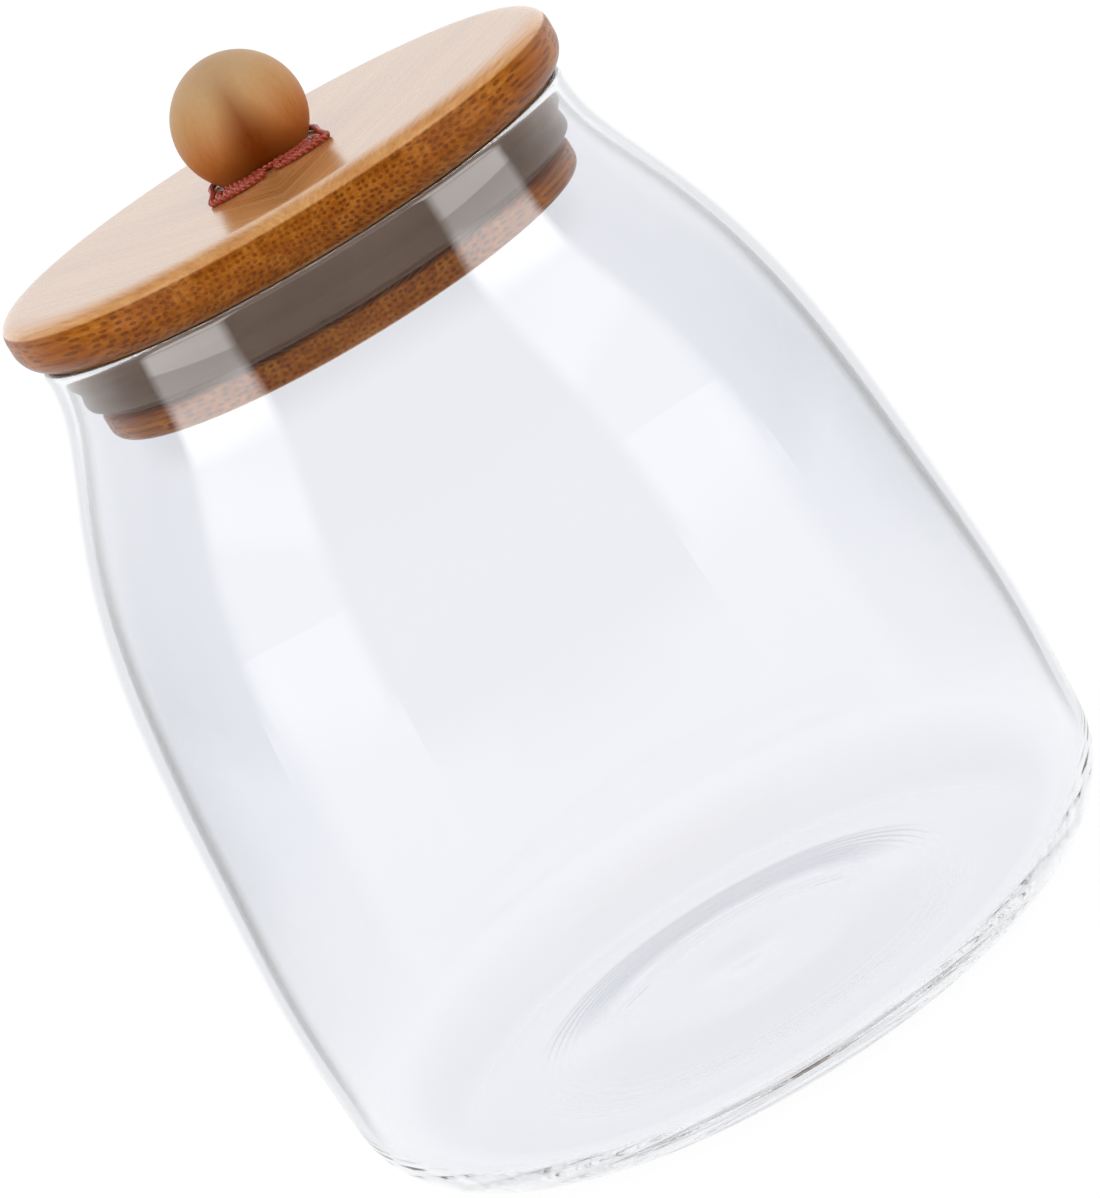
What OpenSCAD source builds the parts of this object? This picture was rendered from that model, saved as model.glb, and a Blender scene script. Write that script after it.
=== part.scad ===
// Glass storage canister with a bamboo lid: a blown jar with a rounded
// corner and a narrow neck, and a lid whose lower disc and silicone ring
// plug the mouth. A ball knob is screwed on from below.
// Millimetres, +Z up, origin on the table at the middle of the base.

/* [Jar] */
// Largest outside diameter
jar_d = 155; // [130:1:180]
// Height from the table to the rim
jar_h = 165.5; // [140:0.5:190]
// Outside diameter of the neck
neck_d = 106; // [104:0.5:112]
// Wall thickness at the neck
wall = 2.4; // [2:0.1:2.8]
// Wall thickness at the belly, where the glass was blown thinnest
belly_wall = 1.8; // [1.4:0.1:2.4]
// Floor thickness at the outside of the base
floor_t = 3; // [2.5:0.5:5]
// Height and width of the rounded lower corner
corner = 17; // [10:1:20]
// Diameter of the push-up under the base
punt_d = 90; // [70:1:100]
// Height of the push-up
punt_h = 2.6; // [1:0.2:4]

/* [Lid] */
// Diameter of the upper plate
plate_d = 111.2; // [108:0.2:120]
// Thickness of the upper plate
plate_t = 11.1; // [10.9:0.1:14]
// Radius of the plate's upper edge
plate_top_r = 4; // [2:0.2:4.4]
// Radius of the plate's lower edge
plate_under_r = 5.6; // [3:0.2:6.4]
// Diameter of the plug's disc below the seal
plug_d = 95.4; // [90:0.2:97]
// Depth of the plug below the plate
plug_h = 17.2; // [15:0.2:20]
// Thickness of the plug's disc
plug_disc_t = 5.4; // [4:0.2:6]
// Depth of the seal's groove behind the disc's edge
groove = 3.8; // [3:0.2:5]

/* [Knob] */
// Diameter of the ball
ball_d = 24.6; // [24.4:0.1:24.8]
// Height of the ball's centre above its flat foot
ball_drop = 8.9; // [8.2:0.1:9]
// Thickness of the red cord tied round the knob's foot
cord_d = 1.2; // [0.9:0.1:1.2]
// Length of the wood screw
screw_l = 40; // [36:1:42]
// Diameter of the wood screw
screw_d = 4; // [3.5:0.1:4.5]

/* [Hidden] */
$fn = 96;
gap = 0.3;           // between the seal and the glass
fit = 0.05;          // round a screw in wood, and inside the stretched seal
steps = 5;           // pieces in each span of a smooth curve
arc_steps = 8;       // pieces in each quarter arc
jar_r = jar_d / 2;
neck_r = neck_d / 2;
foot_r = jar_r * 0.98 + 0.5 - corner;
punt_r = punt_d / 2;
plate_z = jar_h;
knob_z = plate_z + plate_t;
ball_r = ball_d / 2;
ball_z = knob_z + ball_drop;
plug_z = plate_z - plug_h;
disc_top = plug_z + plug_disc_t;
hub_r = plug_d / 2 - groove;
bore_r = neck_r - wall;
lip_r = bore_r - gap;
cord_r = cord_d / 2;
cord_sides = 8;
cord_steps = 2;
// The cord on the plate, from one of its tucked-in ends to the middle of its
// back: a small loop in front of the knob, then round behind the knob's foot
cord_half = [[8.6, -7.1], [6.9, -9.2], [4.4, -10.9], [2.3, -12.2], [1.4, -14.2], [2.3, -16.2],
             [5, -16.9], [8.2, -16.4], [10.6, -15.4], [11.6, -13.9], [11.5, -11.6],
             [11, -7.8], [10.7, -3.4], [10.6, 1.4], [9.2, 5.8], [5.6, 9.4], [0, 10.9]];
head_r = screw_d;
head_h = screw_d * 0.6;
hole_r = screw_d / 2 + 0.2;
slot_l = head_r * 1.1;
slot_w = screw_d * 0.18;
slot_h = head_h * 0.7;

// The jar's side: [share of the height, share of the way from neck to belly]
side = [[corner / jar_h, 0.98], [0.19, 1], [0.43, 0.915], [0.67, 0.715],
        [0.82, 0.4], [0.895, 0.17], [0.945, 0.04], [0.985, 0]];

// Unit direction of a list of points at point i
function heading(p, i) =
    let (a = p[max(i - 1, 0)], b = p[min(i + 1, len(p) - 1)]) (b - a) / norm(b - a);

// Point at t on the smooth span from point i to point i + 1
function on_span(p, i, t) =
    let (run = norm(p[i + 1] - p[i]),
         a = p[i] + heading(p, i) * run / 3,
         b = p[i + 1] - heading(p, i + 1) * run / 3,
         s = 1 - t)
    p[i] * pow(s, 3) + a * 3 * s * s * t + b * 3 * s * t * t + p[i + 1] * pow(t, 3);

// Smooth curve through a list of points, with n pieces in each span
function smooth(p, n = steps) = concat(
    [for (i = [0 : len(p) - 2], k = [0 : n - 1]) on_span(p, i, k / n)],
    [p[len(p) - 1]]);

// Thickness of the glass at radius r: the wider it was blown, the thinner it is
function glass_t(r) = wall + (belly_wall - wall) * (r - neck_r) / (jar_r - neck_r);

// Inner side of the glass along a piece of the jar's outline
function inside_of(p) =
    [for (i = [0 : len(p) - 1]) let (h = heading(p, i)) p[i] + glass_t(p[i][0]) * [-h[1], h[0]]];

// Arc of an ellipse about c, from angle a to angle b
function arc(c, rx, ry, a, b) =
    [for (k = [0 : arc_steps]) let (t = a + (b - a) * k / arc_steps)
        c + [rx * cos(t), ry * sin(t)]];

// Easy slope from height za at radius ra to height zb at radius rb
function slope(ra, za, rb, zb) =
    [for (k = [0 : arc_steps]) let (t = k / arc_steps)
        [ra + (rb - ra) * t, za + (zb - za) * (1 - cos(180 * t)) / 2]];

function reversed(p) = [for (i = [len(p) - 1 : -1 : 0]) p[i]];

outer_side = smooth([for (s = side) [neck_r + (jar_r - neck_r) * s[1], jar_h * s[0]]]);
inner_side = inside_of(outer_side);
corner_r = outer_side[0][0];
inner_corner_r = inner_side[0][0];

// Blown jar: resting ring, rounded corner, bulging side, fire-polished rim,
// and a floor that is pushed up in the middle
module glass_jar() {
    outside = concat(
        slope(punt_r * 0.45, punt_h, punt_r, 0),
        arc([foot_r, corner], corner_r - foot_r, corner, -90, -10),
        outer_side);
    rim = arc([neck_r - wall / 2, jar_h * 0.985], wall / 2, jar_h * 0.015, 0, 180);
    inside = concat(
        arc([foot_r, corner], inner_corner_r - foot_r, corner - floor_t, -10, -90),
        slope(punt_r, floor_t, punt_r * 0.45, floor_t + punt_h * 0.8));
    color([0.86, 0.9, 0.93, 0.35])
        rotate_extrude()
            polygon(concat([[0, punt_h]], outside, rim, reversed(inner_side), inside,
                           [[0, floor_t + punt_h * 0.8]]));
}

// Upper plate, turned with soft edges and drilled for the screw
module lid_plate() {
    r = plate_d / 2;
    color("#c98f52")
        translate([0, 0, plate_z])
            difference() {
                rotate_extrude()
                    polygon(concat([[0, 0]],
                        arc([r - plate_under_r, plate_under_r], plate_under_r, plate_under_r, -90, 0),
                        arc([r - plate_top_r, plate_t - plate_top_r], plate_top_r, plate_top_r, 0, 90),
                        [[0, plate_t]]));
                translate([0, 0, -1]) cylinder(r = hole_r, h = plate_t + 2);
            }
}

// Lower disc with the hub that carries the seal, countersunk for the screw
module lid_plug() {
    r = plug_d / 2;
    edge = plug_disc_t * 0.5;
    color("#a86a32")
        difference() {
            translate([0, 0, plug_z])
                rotate_extrude()
                    polygon(concat([[0, 0]],
                        arc([r - edge, edge], edge, edge, -90, 0),
                        [[r, plug_disc_t], [hub_r, plug_disc_t], [hub_r, plug_h], [0, plug_h]]));
            translate([0, 0, plug_z - 1]) cylinder(r = hole_r, h = plug_h + 2);
            translate([0, 0, plug_z - fit])
                cylinder(r1 = head_r + 2 * fit, r2 = hole_r, h = head_h + 2 * fit);
        }
}

// Silicone ring: a soft round belly below and a thin wiping lip above
module seal_ring() {
    belly = smooth([[lip_r - 3.2, disc_top], [lip_r - 1.5, disc_top + 2.3],
                    [lip_r - 1.1, disc_top + 5.8], [lip_r - 1.4, disc_top + 8.8]]);
    lip = [[lip_r - 0.3, plate_z - 1.5], [lip_r, plate_z - 0.8], [lip_r - 0.2, plate_z - 0.4]];
    color([0.72, 0.68, 0.66, 0.7])
        rotate_extrude()
            polygon(concat([[hub_r + fit, disc_top]], belly, lip,
                           [[lip_r - 3, plate_z], [hub_r + fit, plate_z]]));
}

// Ball with a flat foot and a pilot hole for the screw
module knob_ball() {
    color("#c89355")
        difference() {
            translate([0, 0, ball_z]) sphere(r = ball_r);
            translate([0, 0, knob_z - ball_d]) cube([ball_d * 2, ball_d * 2, ball_d * 2], center = true);
            translate([0, 0, knob_z - 1])
                cylinder(r = screw_d / 2 + fit, h = plug_z + screw_l + 2 - knob_z);
        }
}

// Red cord that lies round the foot of the ball, with a small flat loop on
// each side in front and its ends tucked in beside the ball
module knob_cord() {
    back = len(cord_half) - 2;
    route = smooth(concat(cord_half, [for (i = [back : -1 : 0]) [-cord_half[i][0], cord_half[i][1]]]),
                   cord_steps);
    last = len(route) - 1;
    points = [for (i = [0 : last], k = [0 : cord_sides - 1])
        let (h = heading(route, i), a = 360 * k / cord_sides)
            [route[i][0] - h[1] * cord_r * cos(a), route[i][1] + h[0] * cord_r * cos(a),
             cord_r * sin(a)]];
    sides = [for (i = [0 : last - 1], k = [0 : cord_sides - 1])
        let (a = i * cord_sides, b = a + cord_sides, j = (k + 1) % cord_sides)
            [a + k, b + k, b + j, a + j]];
    start = [for (k = [0 : cord_sides - 1]) k];
    end = [for (k = [cord_sides - 1 : -1 : 0]) last * cord_sides + k];
    color("#a5251c")
        translate([0, 0, knob_z + cord_r + fit])
            polyhedron(points = points, faces = concat(sides, [start, end]));
}

// Countersunk wood screw with a cross slot
module knob_screw() {
    color("#b9bcc0")
        difference() {
            translate([0, 0, plug_z]) {
                cylinder(r1 = head_r, r2 = screw_d / 2, h = head_h);
                translate([0, 0, head_h]) cylinder(r = screw_d / 2, h = screw_l - head_h - screw_d);
                translate([0, 0, screw_l - screw_d])
                    cylinder(r1 = screw_d / 2, r2 = screw_d / 16, h = screw_d);
            }
            for (turn = [0, 90])
                translate([0, 0, plug_z])
                    rotate([0, 0, turn]) cube([slot_l, slot_w, slot_h * 2], center = true);
        }
}

glass_jar();
lid_plate();
lid_plug();
seal_ring();
knob_ball();
knob_cord();
knob_screw();
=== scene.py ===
import math
import bpy
import numpy as np
from mathutils import Matrix, Vector, noise


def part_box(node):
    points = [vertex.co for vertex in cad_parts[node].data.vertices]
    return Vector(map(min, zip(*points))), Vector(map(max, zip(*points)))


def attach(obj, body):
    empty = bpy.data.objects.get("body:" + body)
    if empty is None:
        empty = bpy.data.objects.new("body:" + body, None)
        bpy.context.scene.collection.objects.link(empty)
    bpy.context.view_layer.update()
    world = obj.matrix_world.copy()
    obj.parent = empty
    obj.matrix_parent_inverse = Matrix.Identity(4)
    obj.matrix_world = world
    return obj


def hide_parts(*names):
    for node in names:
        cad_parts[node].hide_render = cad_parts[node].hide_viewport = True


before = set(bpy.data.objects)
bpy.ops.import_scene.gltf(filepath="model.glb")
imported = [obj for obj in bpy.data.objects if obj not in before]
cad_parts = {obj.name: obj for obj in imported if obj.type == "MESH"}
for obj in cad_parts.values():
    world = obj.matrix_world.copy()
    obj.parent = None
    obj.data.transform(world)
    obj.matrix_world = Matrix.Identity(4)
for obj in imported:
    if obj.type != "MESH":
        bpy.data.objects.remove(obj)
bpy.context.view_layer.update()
scene = bpy.context.scene
MM = 0.001


# ---- sizes, all from the frame ----------------------------------------------------------

jar_lo, jar_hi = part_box("glass_jar")
plate_lo, plate_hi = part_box("lid_plate")
plug_lo, plug_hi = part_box("lid_plug")
seal_lo, seal_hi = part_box("seal_ring")
_, ball_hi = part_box("knob_ball")
cord_lo, cord_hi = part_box("knob_cord")

JAR_R = (jar_hi.x - jar_lo.x) / 2 - 0.05 * MM
JAR_H = jar_hi.z
RIM_Z = plate_lo.z
TOP_Z = plate_hi.z
PLATE_R = plate_hi.x
PLUG_Z = plug_lo.z
PLUG_R = plug_hi.x
SEAL_R = seal_hi.x
SEAL_Z = seal_lo.z
BALL_R = ball_hi.x
BALL_Z = ball_hi.z - BALL_R
CORD_T = cord_hi.z - cord_lo.z
NECK_R = 53.0 * MM
WALL = 2.4 * MM
BELLY_WALL = 1.8 * MM
HUB_R = PLUG_R - 3.8 * MM
GRAIN = math.radians(60)          # the bamboo's fibres, from the X axis


# ---- camera: 14 degrees above the table, rolled so that the canister leans --------------

FOCAL_MM = 150.25                 # on a 36 mm sensor
DISTANCE = 0.903
ELEVATION = math.radians(14.11)
ROLL = math.radians(31.0)
AIM = Vector((3.33 * MM, 0, 82.1 * MM))


def add_camera():
    data = bpy.data.cameras.new("camera")
    data.lens = FOCAL_MM
    data.sensor_width = 36
    data.clip_start = 0.01
    data.clip_end = 50
    cam = bpy.data.objects.new("camera", data)
    scene.collection.objects.link(cam)
    back = Vector((0, -math.cos(ELEVATION), math.sin(ELEVATION)))
    turn = (-back).to_track_quat("-Z", "Y").to_matrix() @ Matrix.Rotation(-ROLL, 3, "Z")
    cam.matrix_world = Matrix.Translation(AIM + back * DISTANCE) @ turn.to_4x4()
    scene.camera = cam


# ---- node helpers -----------------------------------------------------------------------

class Nodes:
    """Short names for building one node tree."""

    def __init__(self, tree):
        self.tree = tree
        tree.nodes.clear()

    def add(self, kind, **props):
        node = self.tree.nodes.new(kind)
        for key, value in props.items():
            setattr(node, key, value)
        return node

    def put(self, socket, value):
        if isinstance(value, bpy.types.NodeSocket):
            self.tree.links.new(value, socket)
        else:
            socket.default_value = value

    def math(self, op, a, b=0.0, c=0.0, clamp=False):
        node = self.add("ShaderNodeMath", operation=op, use_clamp=clamp)
        for socket, value in zip(node.inputs, (a, b, c)):
            self.put(socket, value)
        return node.outputs[0]

    def noise(self, vector, scale, detail=3.0, rough=0.5):
        node = self.add("ShaderNodeTexNoise")
        self.put(node.inputs["Vector"], vector)
        self.put(node.inputs["Scale"], scale)
        self.put(node.inputs["Detail"], detail)
        self.put(node.inputs["Roughness"], rough)
        return node.outputs["Fac"]

    def cells(self, vector, scale, random):
        """Distance to the nearest of a flat scatter of points, in cells."""
        node = self.add("ShaderNodeTexVoronoi", voronoi_dimensions="2D")
        self.put(node.inputs["Vector"], vector)
        self.put(node.inputs["Scale"], scale)
        self.put(node.inputs["Randomness"], random)
        return node.outputs["Distance"]

    def ramp(self, value, stops):
        node = self.add("ShaderNodeValToRGB")
        self.put(node.inputs["Fac"], value)
        elements = node.color_ramp.elements
        while len(elements) < len(stops):
            elements.new(0.5)
        for element, (place, colour) in zip(elements, stops):
            element.position = place
            element.color = (*colour, 1) if len(colour) == 3 else colour
        return node.outputs["Color"]

    def level(self, value, low, high, to_low=0.0, to_high=1.0):
        node = self.add("ShaderNodeMapRange")
        for name, v in (("Value", value), ("From Min", low), ("From Max", high),
                        ("To Min", to_low), ("To Max", to_high)):
            self.put(node.inputs[name], v)
        return node.outputs["Result"]

    def mix(self, factor, a, b, blend="MIX"):
        node = self.add("ShaderNodeMix", data_type="RGBA", blend_type=blend)
        self.put(node.inputs[0], factor)
        for socket, value in ((node.inputs[6], a), (node.inputs[7], b)):
            if isinstance(value, tuple) and len(value) == 3:
                value = (*value, 1)
            self.put(socket, value)
        return node.outputs[2]

    def place(self):
        """Object coordinates: the shared frame, moving with the piece. Returns vector, x, y, z."""
        coords = self.add("ShaderNodeTexCoord").outputs["Object"]
        parts = self.add("ShaderNodeSeparateXYZ")
        self.put(parts.inputs[0], coords)
        return (coords, *parts.outputs)

    def vector(self, x, y, z):
        node = self.add("ShaderNodeCombineXYZ")
        for socket, value in zip(node.inputs, (x, y, z)):
            self.put(socket, value)
        return node.outputs[0]

    def bump(self, height, strength, distance):
        node = self.add("ShaderNodeBump")
        self.put(node.inputs["Height"], height)
        self.put(node.inputs["Strength"], strength)
        self.put(node.inputs["Distance"], distance)
        return node.outputs["Normal"]

    def surface(self, **sockets):
        """The principled shader with its sockets set, wired to the output."""
        shader = self.add("ShaderNodeBsdfPrincipled")
        for name, value in sockets.items():
            self.put(shader.inputs[name.replace("_", " ")], value)
        out = self.add("ShaderNodeOutputMaterial")
        self.put(out.inputs["Surface"], shader.outputs[0])
        return shader, out


def new_material(name):
    material = bpy.data.materials.new(name)
    material.use_nodes = True
    return material, Nodes(material.node_tree)


def srgb(r, g, b):
    """A display colour, 0 to 255, as linear values."""
    return tuple(c / 255 / 12.92 if c <= 10 else ((c / 255 + 0.055) / 1.055) ** 2.4
                 for c in (r, g, b))


# ---- mesh helpers -----------------------------------------------------------------------

def arc(centre, rx, rz, start, end, steps=16):
    """Points of an elliptical arc in (radius, height), angles in degrees."""
    angles = np.radians(np.linspace(start, end, steps + 1))
    return [(centre[0] + rx * math.cos(a), centre[1] + rz * math.sin(a)) for a in angles]


def spline(knots, per_span=16):
    """Smooth curve through points (radius, height), by cubic pieces whose bends meet."""
    p = np.array(knots, float)
    t = np.concatenate([[0], np.cumsum(np.linalg.norm(np.diff(p, axis=0), axis=1))])
    n = len(p)
    h = np.diff(t)
    a = np.zeros((n, n))
    b = np.zeros((n, 2))
    a[0, :2] = 2 * h[0], h[0]
    a[-1, -2:] = h[-1], 2 * h[-1]
    b[0] = 6 * ((p[1] - p[0]) / h[0] - (0, 1))
    b[-1] = 6 * ((0, 1) - (p[-1] - p[-2]) / h[-1])
    for i in range(1, n - 1):
        a[i, i - 1:i + 2] = h[i - 1], 2 * (h[i - 1] + h[i]), h[i]
        b[i] = 6 * ((p[i + 1] - p[i]) / h[i] - (p[i] - p[i - 1]) / h[i - 1])
    m = np.linalg.solve(a, b)
    points = []
    for i in range(n - 1):
        for s in np.linspace(t[i], t[i + 1], per_span, endpoint=False):
            u, w = t[i + 1] - s, s - t[i]
            points.append((m[i] * u ** 3 + m[i + 1] * w ** 3) / (6 * h[i])
                          + (p[i] / h[i] - m[i] * h[i] / 6) * u
                          + (p[i + 1] / h[i] - m[i + 1] * h[i] / 6) * w)
    return [tuple(q) for q in points] + [tuple(p[-1])]


def even(points, step):
    """The same line with points at even distances."""
    p = np.array(points, float)
    t = np.concatenate([[0], np.cumsum(np.linalg.norm(np.diff(p, axis=0), axis=1))])
    s = np.linspace(0, t[-1], max(2, round(t[-1] / step)) + 1)
    return np.stack([np.interp(s, t, p[:, 0]), np.interp(s, t, p[:, 1])], axis=1)


def softened(points, passes):
    """The line with its sudden bends eased, its ends held."""
    p = np.array(points, float)
    for _ in range(passes):
        p[1:-1] = 0.25 * p[:-2] + 0.5 * p[1:-1] + 0.25 * p[2:]
    return p


def side_normals(points):
    """Unit normals to the right of a line that runs upward: away from the axis."""
    d = np.gradient(points, axis=0)
    d /= np.linalg.norm(d, axis=1)[:, None]
    return np.stack([d[:, 1], -d[:, 0]], axis=1)


def make_object(name, verts, faces, material, smooth=True):
    mesh = bpy.data.meshes.new(name)
    mesh.from_pydata([tuple(v) for v in verts], [], faces)
    mesh.validate()
    mesh.update()
    mesh.polygons.foreach_set("use_smooth", [smooth] * len(mesh.polygons))
    mesh.materials.append(material)
    obj = bpy.data.objects.new(name, mesh)
    scene.collection.objects.link(obj)
    return obj


def lathe(name, outline, material, segments=256, shift=None):
    """Turns an outline (radius, height) that starts and ends on the axis, or is a closed ring.

    shift(angle, row, radius, height) gives a small change to the radius."""
    pts = [tuple(p) for p in outline]
    on_axis = pts[0][0] < 1e-7
    verts, rows = [], []
    for i, (r, z) in enumerate(pts):
        if r < 1e-7:
            rows.append([len(verts)] * segments)
            verts.append((0, 0, z))
            continue
        rows.append(list(range(len(verts), len(verts) + segments)))
        for k in range(segments):
            a = 2 * math.pi * k / segments
            rr = r + (shift(a, i, r, z) if shift else 0)
            verts.append((rr * math.sin(a), -rr * math.cos(a), z))
    pairs = list(zip(rows[:-1], rows[1:]))
    if not on_axis:
        pairs.append((rows[-1], rows[0]))
    faces = []
    for low, high in pairs:
        for k in range(segments):
            j = (k + 1) % segments
            ring = [low[k], low[j], high[j], high[k]]
            corners = [v for n, v in enumerate(ring) if v not in ring[:n]]
            if len(corners) > 2:
                faces.append(corners)
    return make_object(name, verts, faces, material)


# ---- materials --------------------------------------------------------------------------

GLASS_TINT = (0.926, 0.934, 0.956)
# Where the wall's painted edge shade takes over: up from the corner, and inward over the push-up
CORNER_CLEAR = (8 * MM, 25 * MM)
PUSH_UP_EDGE_SHADE = (50 * MM, 45 * MM)
# The polished neck: its heights, and how far round it from the front the extra gloss reaches
NECK_GLOSS = (144 * MM, 149 * MM)
NECK_REACH = (44 * MM, 38 * MM)


def glass_material():
    """Clear blown glass, faintly green through its thickness.

    Three things here are set for looks, not left to the light. The wall's inner side, whose
    points carry the attribute "lining", has a painted shade where it is seen edge on, a thin grey
    line. The rest of the glass, but not the corner round the base, has a painted shade where it is
    seen edge on. And the neck has a glossy coat, so that reflections stay bright in front of the wood."""
    material, n = new_material("clear_glass")
    where, x, y, z = n.place()
    glance = n.add("ShaderNodeLayerWeight").outputs["Facing"]
    # Painted shade: the wall's inner side darkens the more edge on it is seen
    shade = n.ramp(glance, [(0.28, (1.0,) * 3), (0.34, (0.87, 0.88, 0.91)), (0.5, (0.8, 0.81, 0.85)),
                            (0.67, (0.6, 0.62, 0.66)), (0.76, (0.48, 0.5, 0.54)),
                            (0.81, (0.32, 0.33, 0.36)), (0.87, (0.16, 0.17, 0.18)),
                            (0.94, (0.03, 0.03, 0.035))])
    # Painted shade: the rest of the glass darkens where it is seen edge on
    edge = n.ramp(glance, [(0.72, (1.0,) * 3), (0.78, (0.55, 0.56, 0.6)), (0.86, (0.5, 0.51, 0.55)),
                           (0.93, (0.8,) * 3)])
    lining = n.add("ShaderNodeAttribute", attribute_name="lining").outputs["Fac"]
    inner = n.level(lining, 0.0, 0.2)
    radius = n.math("SQRT", n.math("ADD", n.math("MULTIPLY", x, x), n.math("MULTIPLY", y, y)))
    edge_shaded = n.math("MAXIMUM", n.level(z, *CORNER_CLEAR), n.level(radius, *PUSH_UP_EDGE_SHADE))
    body = n.mix(edge_shaded, GLASS_TINT, edge, "MULTIPLY")
    colour = n.mix(inner, body, n.mix(lining, GLASS_TINT, n.mix(1.0, GLASS_TINT, shade, "MULTIPLY")))
    neck = n.math("MULTIPLY", n.level(z, *NECK_GLOSS), n.level(n.math("ABSOLUTE", x), *NECK_REACH))
    polish = n.math("MULTIPLY", neck, n.math("SUBTRACT", 1.0, inner))
    shader, out = n.surface(Base_Color=colour, Roughness=0.0, IOR=1.47, Transmission_Weight=1.0,
                            Coat_Weight=polish, Coat_IOR=2.0, Coat_Roughness=0.0)
    # Painted shade: a near-black surface mixed in where the inner side is seen most edge on, the thin
    # grey line
    black = n.add("ShaderNodeBsdfDiffuse")
    black.inputs["Color"].default_value = (0.02, 0.02, 0.022, 1)
    line = n.ramp(glance, [(0.74, (0.0,) * 3), (0.79, (0.25,) * 3), (0.84, (0.85,) * 3),
                           (0.88, (1.0,) * 3)])
    both = n.add("ShaderNodeMixShader")
    n.put(both.inputs[0], n.math("MULTIPLY", line, lining))
    n.put(both.inputs[1], shader.outputs[0])
    n.put(both.inputs[2], black.outputs[0])
    n.put(out.inputs["Surface"], both.outputs[0])
    depth = n.add("ShaderNodeVolumeAbsorption")
    depth.inputs["Color"].default_value = (0.72, 0.93, 0.84, 1)
    depth.inputs["Density"].default_value = 0.2
    n.put(out.inputs["Volume"], depth.outputs[0])
    return material


def bamboo_material():
    """Bamboo, fibres in one level direction, mirrored about the middle plane.

    Ends of the dark bundles show as dots where the surface cuts across the fibres, and as fine
    streaks where it runs along them. Below the rim the wood is made lighter, painted light that
    makes up for what the glass in front of it takes away. Just above the rim the plate's rounded
    underside is darker, painted shade."""
    material, n = new_material("bamboo")
    where, x, y, z = n.place()
    ax = n.math("ABSOLUTE", x)
    across = n.math("SUBTRACT", n.math("MULTIPLY", ax, math.sin(GRAIN)),
                    n.math("MULTIPLY", y, math.cos(GRAIN)))
    along = n.math("ADD", n.math("MULTIPLY", ax, math.cos(GRAIN)),
                   n.math("MULTIPLY", y, math.sin(GRAIN)))
    wander = n.math("MULTIPLY", n.math("SUBTRACT", n.noise(where, 35, 2), 0.5), 1.5 * MM)
    section = n.vector(n.math("ADD", across, wander), n.math("SUBTRACT", z, wander), 0.0)
    bundles = n.cells(section, 930, 0.5)
    dots = n.ramp(bundles, [(0.0, (0.5,) * 3), (0.1, (0.8,) * 3), (0.17, (1,) * 3),
                            (0.25, (0.7,) * 3), (0.34, (0.0,) * 3)])
    fine = n.noise(n.vector(across, n.math("MULTIPLY", along, 0.015), z), 1700, 3, 0.6)
    streak = n.noise(n.vector(across, n.math("MULTIPLY", along, 0.03), z), 420, 3, 0.5)
    patch = n.noise(where, 60, 3, 0.5)

    geometry = n.add("ShaderNodeNewGeometry")
    facing = n.add("ShaderNodeSeparateXYZ")
    n.put(facing.inputs[0], geometry.outputs["Normal"])
    top = n.math("MAXIMUM", n.level(z, TOP_Z - 2.3 * MM, TOP_Z - 1.9 * MM),
                 n.level(facing.outputs[2], -0.8, -0.98))

    mixed = n.math("ADD", n.math("MULTIPLY", streak, 0.5), n.math("MULTIPLY", fine, 0.5))
    edge = n.ramp(mixed, [(0.3, srgb(118, 58, 4)), (0.5, srgb(150, 82, 12)),
                          (0.72, srgb(180, 114, 42))])
    edge = n.mix(n.math("MULTIPLY", dots, n.level(patch, 0.35, 0.6, 0.45, 0.8)), edge,
                 srgb(84, 34, 2))
    face = n.ramp(mixed, [(0.3, srgb(192, 124, 56)), (0.5, srgb(210, 148, 82)),
                          (0.7, srgb(226, 170, 108))])
    face = n.mix(n.math("MULTIPLY", dots, 0.12), face, srgb(150, 92, 44))
    colour = n.mix(top, edge, face)
    # Painted light: below the rim, behind the glass, the wood's colour is lifted to make up for the
    # light the glass takes away
    painted_light_behind_glass = n.level(z, RIM_Z - 1 * MM, RIM_Z - 2 * MM)
    colour = n.mix(painted_light_behind_glass, colour, (1.85, 1.85, 1.5), "MULTIPLY")
    # Painted shade: the plate's rounded underside just above the rim is darkened, where its surface
    # turns down
    under = n.math("MULTIPLY", n.level(z, RIM_Z + 6 * MM, RIM_Z + 1 * MM),
                   n.math("SUBTRACT", 1.0, painted_light_behind_glass))
    colour = n.mix(under, colour, (0.62, 0.6, 0.55), "MULTIPLY")

    height = n.math("SUBTRACT", n.math("MULTIPLY", fine, 0.5), n.math("MULTIPLY", dots, 0.5))
    normal = n.bump(height, 0.2, 0.1 * MM)
    rough = n.level(fine, 0.3, 0.7, 0.24, 0.34)
    lacquer = n.math("MULTIPLY_ADD", top, 0.85, 0.12)
    n.surface(Base_Color=colour, Roughness=rough, IOR=1.5, Specular_IOR_Level=0.05,
              Coat_Weight=lacquer, Coat_Roughness=0.18, Normal=normal)
    return material


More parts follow.
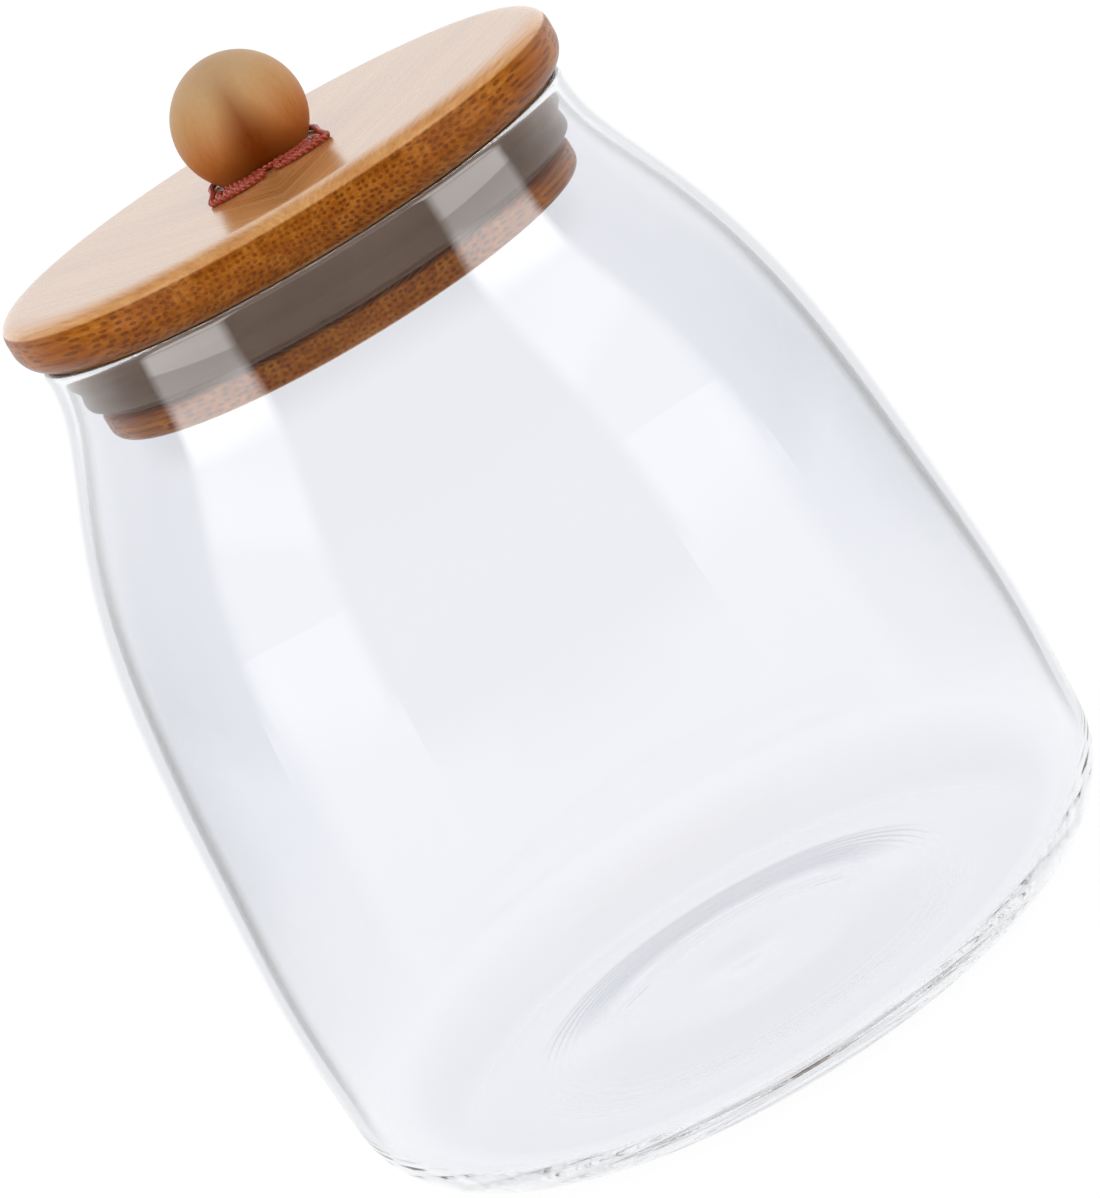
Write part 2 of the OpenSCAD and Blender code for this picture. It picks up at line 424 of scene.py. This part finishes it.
def ball_material():
    """Turned wood with its grain upright, satin lacquered."""
    material, n = new_material("knob_wood")
    where, x, y, z = n.place()
    ax = n.math("ABSOLUTE", x)
    bend = n.math("MULTIPLY", n.noise(where, 60, 2), 2.5 * MM)
    grain = n.vector(n.math("ADD", ax, bend), y, n.math("MULTIPLY", z, 0.12))
    bands = n.noise(grain, 260, 3, 0.55)
    fine = n.noise(n.vector(ax, y, n.math("MULTIPLY", z, 0.06)), 1800, 3, 0.6)
    height = n.level(z, BALL_Z - 6 * MM, BALL_Z + 9 * MM)
    streak = n.math("MULTIPLY", n.math("SUBTRACT", n.math("ADD", bands, fine), 1.0), 0.45)
    tone = n.math("ADD", height, streak)
    colour = n.ramp(tone, [(0.0, srgb(176, 100, 40)), (0.3, srgb(190, 122, 62)),
                           (0.65, srgb(194, 146, 92)), (1.0, srgb(198, 160, 116))])
    # A dark streak down the middle, strongest low down: partly the wood's dark heart, partly painted
    # shade on the ball's lower middle
    wide = n.level(z, BALL_Z + 4 * MM, BALL_Z - 8 * MM, 3.5 * MM, 9 * MM)
    core = n.math("SUBTRACT", 1.0, n.math("DIVIDE", ax, wide), clamp=True)
    heart_and_low_shade = n.math("MULTIPLY", n.math("MULTIPLY", core, n.level(z, BALL_Z + 11 * MM, BALL_Z - 2 * MM)),
                   n.math("MULTIPLY_ADD", streak, 1.2, 1.1), clamp=True)
    colour = n.mix(heart_and_low_shade, colour, srgb(128, 58, 6))
    normal = n.bump(fine, 0.15, 0.08 * MM)
    n.surface(Base_Color=colour, Roughness=0.45, IOR=1.48, Specular_IOR_Level=0.15,
              Coat_Weight=0.08, Coat_Roughness=0.3, Normal=normal)
    return material


def silicone_material():
    """Milky silicone: a little light gets in. Its warm brown is painted light, the wood's colour put
    into its base colour.
    """
    material, n = new_material("milky_silicone")
    where, x, y, z = n.place()
    cloud = n.noise(where, 60, 3, 0.5)
    # Painted light: the brown stands for the wood's colour carried into the silicone
    colour = n.ramp(cloud, [(0.3, srgb(140, 110, 86)), (0.7, srgb(154, 124, 100))])
    normal = n.bump(n.noise(where, 900, 2, 0.5), 0.08, 0.05 * MM)
    n.surface(Base_Color=colour, Roughness=0.38, IOR=1.41, Subsurface_Weight=0.25,
              Subsurface_Radius=(1.0, 0.8, 0.6), Subsurface_Scale=2 * MM, Normal=normal)
    return material


def cord_material():
    """Waxed red cord."""
    material, n = new_material("red_waxed_cord")
    where, x, y, z = n.place()
    fibres = n.noise(where, 2600, 3, 0.6)
    colour = n.ramp(fibres, [(0.3, srgb(150, 40, 18)), (0.7, srgb(196, 84, 56))])
    normal = n.bump(fibres, 0.25, 0.06 * MM)
    n.surface(Base_Color=colour, Roughness=0.25, IOR=1.5, Coat_Weight=0.5,
              Coat_Roughness=0.12, Normal=normal)
    return material


def steel_material():
    """Zinc-plated steel, lightly tumbled."""
    material, n = new_material("zinc_plate")
    where, x, y, z = n.place()
    tumble = n.noise(where, 1400, 3, 0.6)
    colour = n.ramp(tumble, [(0.3, (0.5, 0.51, 0.52)), (0.7, (0.68, 0.69, 0.7))])
    normal = n.bump(tumble, 0.15, 0.05 * MM)
    n.surface(Base_Color=colour, Metallic=1.0, Roughness=0.28, Normal=normal)
    return material


# ---- the glass jar ----------------------------------------------------------------------

# The side: share of the height, share of the way from the neck's radius to the belly's
SIDE = [(0.102, 0.98), (0.19, 1.0), (0.43, 0.915), (0.67, 0.715),
        (0.82, 0.4), (0.895, 0.17), (0.945, 0.04), (0.985, 0.0)]
FOOT_R = 60.0 * MM
FLOOR = 3.0 * MM
STEP = 0.8 * MM
RING = 256                        # points round the jar
# The push-up: radii where it starts and ends below and above, and its height
PUNT_UNDER = (45 * MM, 20 * MM)
PUNT_ABOVE = (49 * MM, 24 * MM)
PUNT_H = 2.6 * MM
DIMPLE_R = 10 * MM
WAVER = 0.1 * MM


def punt(r, span):
    """Height of the push-up at radius r, with the ripples and the dimple that the mould leaves."""
    start, stop = span
    t = min(max((start - r) / (start - stop), 0), 1)
    rise = PUNT_H * (1 - math.cos(math.pi * t)) / 2
    ripple = 0.07 * MM * (1 + math.sin(r / MM * 3.0)) * math.exp(-((r - 41 * MM) / (3.5 * MM)) ** 2)
    dimple = 0.5 * MM * math.exp(-(r / DIMPLE_R * 1.6) ** 2)
    return rise + ripple - dimple


def glass_thickness(r, z):
    """Thick at the neck and the floor, thinnest where the glass was blown widest."""
    side = WALL + (BELLY_WALL - WALL) * min(max((r - NECK_R) / (JAR_R - NECK_R), 0), 1)
    return side + (FLOOR - side) * math.exp(-(z / (8 * MM)) ** 2)


def lining_share(z):
    """How far the wall's inner side takes its painted edge-on shade: not near the floor, less at the
    neck.
    """
    heights = np.array([12, 30, 45, 60, 95, 110, 125, 140, 155]) * MM
    return float(np.interp(z, heights, [0, 0.6, 0.7, 1, 1, 0.8, 0.6, 0.4, 0.3]))


def build_jar():
    side = spline([(NECK_R + (JAR_R - NECK_R) * s, JAR_H * h) for h, s in SIDE])
    corner_z = side[0][1]
    lip = JAR_H - 1.25 * MM
    outer = arc((FOOT_R, corner_z), side[0][0] - FOOT_R, corner_z, -90, -4, 24) + side
    outer.append((NECK_R, lip))
    outer = softened(even(outer, STEP), 12)
    wall = np.array([glass_thickness(r, z) for r, z in outer])
    inner = outer - side_normals(outer) * wall[:, None]
    shares = np.linspace(0, 1, 90)[:-1]
    under = [(t * outer[0][0], punt(t * outer[0][0], PUNT_UNDER)) for t in shares]
    floor = [(t * inner[0][0], FLOOR + punt(t * inner[0][0], PUNT_ABOVE)) for t in shares]
    top_r = (outer[-1][0] + inner[-1][0]) / 2
    half = (outer[-1][0] - inner[-1][0]) / 2
    rim = arc((top_r, outer[-1][1]), half, JAR_H - outer[-1][1], 0, 180, 14)[1:-1]
    outline = under + list(outer) + rim + list(inner[::-1]) + floor[::-1]

    def waver(angle, row, r, z):
        side_part = float(np.interp(z, [60 * MM, 100 * MM, JAR_H - 25 * MM, JAR_H], [0, 1, 1, 0]))
        inside = 7.0 if row > len(under) + len(outer) else 0.0
        p = Vector((math.sin(angle) * 1.3, math.cos(angle) * 1.3 + inside, z / MM / 45))
        return (noise.noise(p) - 0.55) * WAVER * side_part

    jar = lathe("glass_body", outline, glass_material(), RING, waver)
    # Each point's share of the painted edge-on shade, on the wall's inner side only
    lining = jar.data.attributes.new("lining", "FLOAT", "POINT")
    first = len(under) + len(outer) + len(rim)
    shares = [lining_share(z) if first <= row < first + len(inner) else 0.0
              for row, (r, z) in enumerate(outline)]
    values = [share for share, (r, z) in zip(shares, outline) for _ in range(RING if r > 0 else 1)]
    lining.data.foreach_set("value", values)
    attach(jar, "jar")
    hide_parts("glass_jar")


# ---- the lid ----------------------------------------------------------------------------

SCREW_HOLE_R = 2.2 * MM           # clear through plate and plug
PILOT_R = 2.05 * MM               # in the ball, close round the screw
GAP = 0.05 * MM                   # between the seal and what it sits on


def easy_corner(r, z, rx, rz, steps=24):
    """Rounded corner from the side at radius r to the top at height z, flatter than an ellipse."""
    turn = np.radians(np.linspace(0, 90, steps + 1))
    return [(r - rx + rx * abs(math.cos(t)) ** 0.77, z - rz + rz * math.sin(t) ** 0.77) for t in turn]


def build_plate(material):
    top_wide, top_high, under_r = 6.0 * MM, 4.0 * MM, 5.6 * MM
    hole = SCREW_HOLE_R
    outline = ([(hole, RIM_Z), (hole + 0.3 * MM, RIM_Z)]
               + [(r, RIM_Z) for r in np.linspace(0.1, 1, 12) * (PLATE_R - under_r)][:-1]
               + arc((PLATE_R - under_r, RIM_Z + under_r), under_r, under_r, -90, 0, 24)
               + easy_corner(PLATE_R, TOP_Z, top_wide, top_high)
               + [(r, TOP_Z) for r in np.linspace(1, 0.1, 12) * (PLATE_R - top_wide)][1:]
               + [(hole + 0.3 * MM, TOP_Z), (hole, TOP_Z)])
    plate = lathe("plate_bamboo", outline, material, 256)
    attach(plate, "lid")
    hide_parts("lid_plate")


def build_plug(material):
    disc_top = SEAL_Z
    edge = 2.7 * MM
    hole = SCREW_HOLE_R
    outline = ([(hole, PLUG_Z + 2.4 * MM), (4.1 * MM, PLUG_Z)]
               + [(r, PLUG_Z) for r in np.linspace(0.15, 1, 10) * (PLUG_R - edge)][:-1]
               + arc((PLUG_R - edge, PLUG_Z + edge), edge, edge, -90, 0, 16)
               + [(PLUG_R, disc_top - 0.4 * MM), (PLUG_R - 0.4 * MM, disc_top),
                  (HUB_R, disc_top), (HUB_R, RIM_Z), (hole, RIM_Z)])
    plug = lathe("plug_bamboo", outline, material, 256)
    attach(plug, "lid")
    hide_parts("lid_plug")


def build_seal():
    r, z, top = SEAL_R, SEAL_Z, RIM_Z
    belly = spline([(r - 3.4 * MM, z + 0.7 * MM), (r - 1.7 * MM, z + 2.0 * MM),
                    (r - 1.05 * MM, z + 4.2 * MM), (r - 1.3 * MM, z + 5.8 * MM)], 10)
    lip = [(r - 0.5 * MM, top - 4.6 * MM), (r - 0.05 * MM, top - 3.9 * MM), (r, top - 3.5 * MM),
           (r, top - 0.8 * MM), (r - 0.3 * MM, top - 0.3 * MM), (r - 3 * MM, top - 0.05 * MM)]
    outline = [(HUB_R + GAP, z + 0.3 * MM)] + belly + lip + [(HUB_R + GAP, top - GAP)]
    seal = lathe("seal_silicone", outline, silicone_material(), 256)
    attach(seal, "lid")
    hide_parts("seal_ring")


def build_ball():
    foot = math.asin((BALL_Z - TOP_Z) / BALL_R)
    outline = arc((0, BALL_Z), BALL_R, BALL_R, -math.degrees(foot), 90, 72)
    outline[-1] = (0, BALL_Z + BALL_R)
    rim = outline[0][0]
    up = BALL_Z + 3 * MM
    inside = [(0, up), (PILOT_R, up), (PILOT_R, TOP_Z), (rim - 0.3 * MM, TOP_Z)]
    ball = lathe("ball_wood", inside + outline, ball_material(), 160)
    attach(ball, "lid")
    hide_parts("knob_ball")


# The cord on the plate, in millimetres: from a tucked-in end, round a small loop in front of the
# knob, and round behind the knob's foot to the middle of its back
CORD_HALF = [(8.6, -7.1), (6.9, -9.2), (4.4, -10.9), (2.3, -12.2), (1.4, -14.2), (2.3, -16.2),
             (5, -16.9), (8.2, -16.4), (10.6, -15.4), (11.6, -13.9), (11.5, -11.6),
             (11, -7.8), (10.7, -3.4), (10.6, 1.4), (9.2, 5.8), (5.6, 9.4), (0, 10.9)]


def smooth_route(points, per_span):
    """Smooth level curve through points, by cubic pieces that leave each point the same way."""
    p = [Vector(q) for q in points]
    last = len(p) - 1
    way = [(p[min(i + 1, last)] - p[max(i - 1, 0)]).normalized() for i in range(last + 1)]
    curve = []
    for i in range(last):
        run = (p[i + 1] - p[i]).length / 3
        a, b = p[i] + way[i] * run, p[i + 1] - way[i + 1] * run
        for k in range(per_span):
            t = k / per_span
            s = 1 - t
            curve.append(p[i] * s ** 3 + a * 3 * s * s * t + b * 3 * s * t * t + p[i + 1] * t ** 3)
    return curve + [p[last]]


# A turn inside each loop, and a short run across the front under the knob
CORD_TURN = [(9.3, -8.6), (9.9, -10.6), (10, -13), (8, -14.7), (5.2, -15.2), (3.4, -14),
             (4.6, -12.4), (7.2, -10.9), (8.4, -11.8), (7.6, -13.2), (5.9, -13.5)]
CORD_FRONT = [(-3.3, -9.7), (-1.7, -10.2), (0, -10.4), (1.7, -10.2), (3.3, -9.7)]


def build_cord():
    """Two strands twisted together, laid round the knob's foot with a flat loop on each side."""
    strand, twist_r, pitch = CORD_T * 0.29, CORD_T * 0.2, 2.3 * MM
    sides = 10
    turned = [(-x, y) for x, y in CORD_TURN]
    routes = [CORD_HALF + [(-x, y) for x, y in CORD_HALF[-2::-1]], CORD_TURN, turned, CORD_FRONT]
    centre_z = (cord_lo.z + cord_hi.z) / 2
    verts, faces = [], []
    for points, s in [(points, s) for points in routes for s in range(2)]:
        route = smooth_route([(x * MM, y * MM) for x, y in points], 24)
        total = len(route) - 1
        start = len(verts)
        length = 0.0
        for i, point in enumerate(route):
            run = (route[min(i + 1, total)] - route[max(i - 1, 0)]).normalized()
            length += (point - route[max(i - 1, 0)]).length
            phase = 2 * math.pi * length / pitch + math.pi * s
            size = strand * math.sqrt(min(min(i, total - i) / 8, 1)) + 0.02 * MM
            out = Vector((-run.y, run.x, 0))
            mid = (Vector((point.x, point.y, centre_z)) + out * twist_r * math.cos(phase)
                   + Vector((0, 0, twist_r * math.sin(phase))))
            for k in range(sides):
                b = 2 * math.pi * k / sides
                verts.append(mid + out * size * math.cos(b) + Vector((0, 0, size * math.sin(b))))
        for i in range(total):
            for k in range(sides):
                j = (k + 1) % sides
                a0, a1 = start + i * sides, start + (i + 1) * sides
                faces.append([a0 + k, a1 + k, a1 + j, a0 + j])
        faces.append([start + k for k in range(sides)])
        faces.append([start + total * sides + k for k in range(sides)][::-1])
    cord = make_object("cord_red", verts, faces, cord_material())
    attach(cord, "lid")
    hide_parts("knob_cord")


def dress_screw():
    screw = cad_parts["knob_screw"]
    steel = steel_material()
    for s in screw.material_slots:
        s.material = steel


# ---- room -------------------------------------------------------------------------------

def add_floor():
    material, n = new_material("pale_floor")
    diffuse = n.add("ShaderNodeBsdfDiffuse")
    diffuse.inputs["Color"].default_value = (0.92, 0.92, 0.92, 1)
    glow = n.add("ShaderNodeEmission")
    glow.inputs["Strength"].default_value = 1.06
    mix = n.add("ShaderNodeMixShader")
    mix.inputs[0].default_value = 0.9
    out = n.add("ShaderNodeOutputMaterial")
    n.put(mix.inputs[1], diffuse.outputs[0])
    n.put(mix.inputs[2], glow.outputs[0])
    n.put(out.inputs["Surface"], mix.outputs[0])
    verts = [(x, y, -0.0002) for x, y in ((-4, -4), (4, -4), (4, 4), (-4, 4))]
    floor = make_object("floor", verts, [(0, 1, 2, 3)], material, smooth=False)


def add_world():
    world = bpy.data.worlds.new("studio")
    world.use_nodes = True
    scene.world = world
    n = Nodes(world.node_tree)
    background = n.add("ShaderNodeBackground")
    out = n.add("ShaderNodeOutputWorld")
    coords = n.add("ShaderNodeTexCoord").outputs["Generated"]
    parts = n.add("ShaderNodeSeparateXYZ")
    n.put(parts.inputs[0], coords)
    tone = n.ramp(parts.outputs[2], [(0.0, (1.06,) * 3), (0.27, (1.06,) * 3), (0.4, (0.85,) * 3),
                                     (0.6, (0.64, 0.65, 0.67)), (1.0, (0.58, 0.59, 0.61))])
    n.put(background.inputs["Color"], tone)
    n.put(out.inputs["Surface"], background.outputs[0])


# A gloss card's sides fade out between these shares of its width, counted from its middle.
SOFT_FROM, SOFT_TO = 0.38, 0.5
# Low down they don't: they fade in full at the first height and above, not at all at the second.
SOLID_BELOW = (0.11, 0.08)


def add_card(name, azimuth, distance, width, low, high, glow, seen):
    """A glowing card, azimuth degrees round from the front. Only rays of the kind in seen meet it:
    "light" for diffuse ones, "gloss" for reflections. The camera never sees it.

    low gives the heights of its lower corners, the one nearer the front first, and high those of
    its upper corners. glow lists (height, strength), lowest first."""
    material, n = new_material(name)
    where, x, y, z = n.place()
    most = max(strength for _, strength in glow)
    bottom, top = glow[0][0], glow[-1][0]
    shade = n.ramp(n.level(z, bottom, top), [((h - bottom) / (top - bottom), (strength / most,) * 3)
                                             for h, strength in glow])
    a = math.radians(azimuth)
    across = n.math("ADD", n.math("MULTIPLY", x, math.cos(a)), n.math("MULTIPLY", y, math.sin(a)))
    soft = n.level(n.math("ABSOLUTE", across), width * SOFT_TO, width * SOFT_FROM)
    soft = n.math("MAXIMUM", soft, n.level(z, *SOLID_BELOW))
    light = n.add("ShaderNodeEmission")
    n.put(light.inputs["Color"], shade)
    n.put(light.inputs["Strength"], n.math("MULTIPLY", soft, most) if "gloss" in seen else most)
    out = n.add("ShaderNodeOutputMaterial")
    n.put(out.inputs["Surface"], light.outputs[0])
    out_way = Vector((math.sin(a), -math.cos(a), 0))
    side = Vector((math.cos(a), math.sin(a), 0)) * math.copysign(width / 2, azimuth)
    base = out_way * distance
    verts = [base - side + Vector((0, 0, low[0])), base + side + Vector((0, 0, low[1])),
             base + side + Vector((0, 0, high[1])), base - side + Vector((0, 0, high[0]))]
    card = make_object(name, verts, [(0, 1, 2, 3)], material, smooth=False)
    card.visible_camera = False
    card.visible_transmission = False
    card.visible_shadow = False
    card.visible_glossy = "gloss" in seen
    card.visible_diffuse = "light" in seen


def add_cards():
    """On each side a tall softbox and a low panel that light the canister, and above each other two
    strips that show in its glass. Behind and above it, a pale card that only reflections see."""
    near, lamp_at, strip_at, strip_wide = 0.4, 68, 61.5, 0.3
    step = (0.193, 0.145)             # heights where the lower strip ends and the upper one starts
    for side, way in ((-1, "left"), (1, "right")):
        add_card(f"softbox_{way}", side * lamp_at, near, 0.15, (0.1, 0.1), (0.5, 0.5),
                 [(0.1, 2.6), (0.5, 2.6)], "light")
        add_card(f"panel_{way}", side * lamp_at, near, 0.24, (0.0, 0.0), (0.1, 0.1),
                 [(0.0, 1.5), (0.1, 1.8)], "light")
        add_card(f"strip_{way}", side * strip_at, near, strip_wide, step, (0.62, 0.62),
                 [(0.14, 1.2), (0.25, 1.4), (0.285, 2.4), (0.33, 2.4), (0.4, 1.8), (0.62, 1.5)], "gloss")
        add_card(f"low_strip_{way}", side * strip_at, near, strip_wide, (0.0, 0.0), step,
                 [(0.0, 0.9), (0.06, 1.3), (0.11, 2.1), (0.2, 2.0)], "gloss")
    add_card("sky_card", 180, 0.9, 1.5, (0.36, 0.36), (1.5, 1.5),
             [(0.36, 1.0), (0.55, 1.25), (1.2, 1.25), (1.5, 0.8)], "gloss")


def add_dark_arc():
    """A dark screen round the front that only reflections see, soft above, below and at its ends.
    It keeps pale reflections off the wood and the seal."""
    material, n = new_material("dark_screen")
    where, x, y, z = n.place()
    height = 1.0
    shade = n.ramp(n.level(z, 0.0, height), [(0.0, (1.0,) * 3), (0.03, (0.5,) * 3), (0.07, (0.0,) * 3),
                                             (0.68, (0.0,) * 3), (0.82, (0.25,) * 3),
                                             (1.0, (0.66,) * 3)])
    away = n.math("ARCTAN2", n.math("ABSOLUTE", x), n.math("MULTIPLY", y, -1.0))
    fade = n.level(away, math.radians(100), math.radians(128))
    light = n.add("ShaderNodeEmission")
    n.put(light.inputs["Color"], n.mix(fade, shade, (1.0, 1.0, 1.0)))
    out = n.add("ShaderNodeOutputMaterial")
    n.put(out.inputs["Surface"], light.outputs[0])
    reach, radius, columns = 128, 0.9, 65
    verts = [(radius * math.sin(a), -radius * math.cos(a), z)
             for a in np.radians(np.linspace(-reach, reach, columns)) for z in (0, height)]
    faces = [(2 * i, 2 * i + 2, 2 * i + 3, 2 * i + 1) for i in range(columns - 1)]
    screen = make_object("dark_screen", verts, faces, material, smooth=False)
    screen.visible_camera = False
    screen.visible_transmission = False
    screen.visible_diffuse = False
    screen.visible_shadow = False


# ---- put together -----------------------------------------------------------------------

def main():
    scene.view_settings.view_transform = "Standard"
    scene.cycles.max_bounces = 256
    scene.cycles.transmission_bounces = 256
    scene.cycles.glossy_bounces = 256
    scene.cycles.transparent_max_bounces = 16
    scene.cycles.caustics_refractive = True
    add_camera()
    add_floor()
    add_world()
    add_cards()
    add_dark_arc()
    build_jar()
    bamboo = bamboo_material()
    build_plate(bamboo)
    build_plug(bamboo)
    build_seal()
    build_ball()
    build_cord()
    dress_screw()


main()
